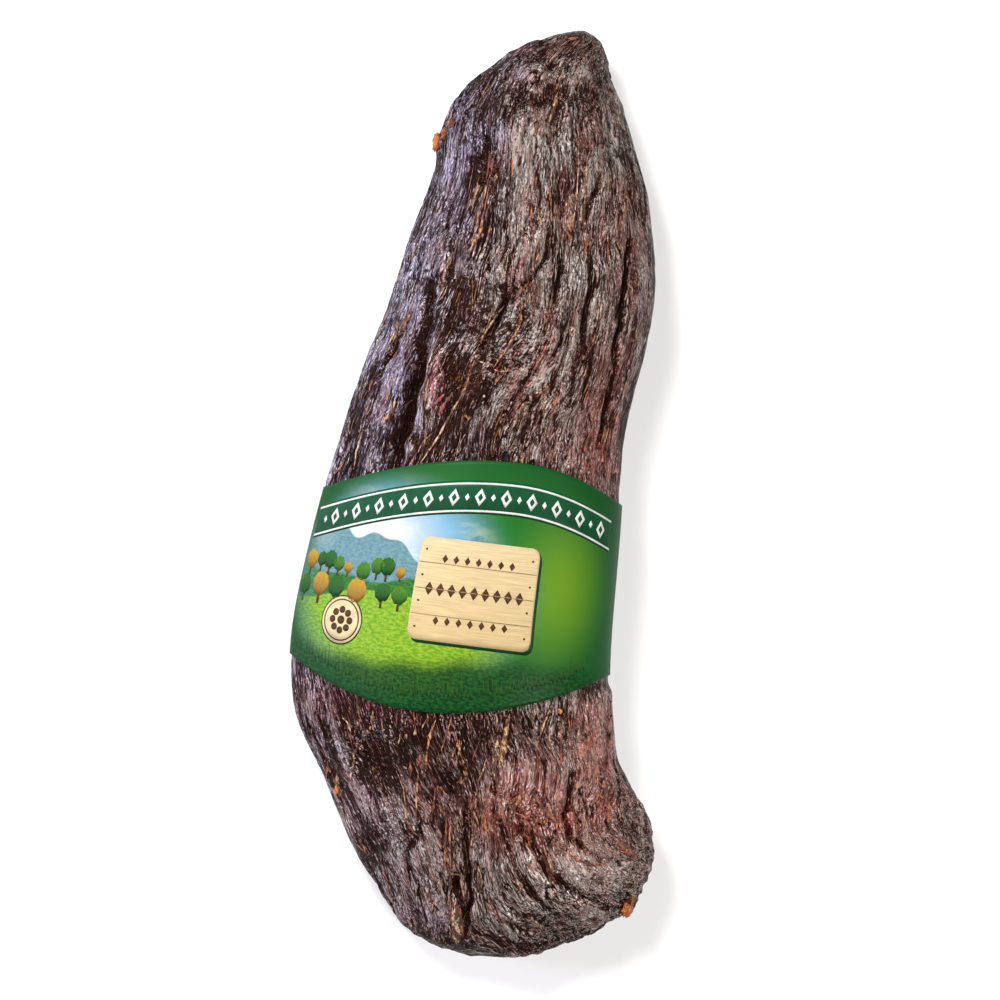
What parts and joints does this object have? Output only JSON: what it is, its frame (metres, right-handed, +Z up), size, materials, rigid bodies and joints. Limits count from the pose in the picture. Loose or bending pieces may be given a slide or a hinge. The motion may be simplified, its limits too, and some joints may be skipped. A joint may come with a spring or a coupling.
{
  "type": "beef prosciutto",
  "caption": "Whole dried beef prosciutto, long and flattened with a blunt narrow tip and a broad lobed end, in a printed paper sleeve round its middle.",
  "frame": {"origin": "on the table under the middle of the piece's box", "axes": "+Y along the meat from its broad end to its narrow tip, +X to the right of the shown face seen from above, +Z up out of the shown face"},
  "size_m": [0.1736, 0.42, 0.0632],
  "materials": {
    "dried_meat": "dark smoked and air-dried beef, wrinkled and fibrous, half gloss",
    "printed_sleeve": "glossy printed paper, green"
  },
  "bodies": {
    "root": {"prosciutto": "dried_meat", "sleeve": "printed_sleeve"}
  },
  "joints": []
}
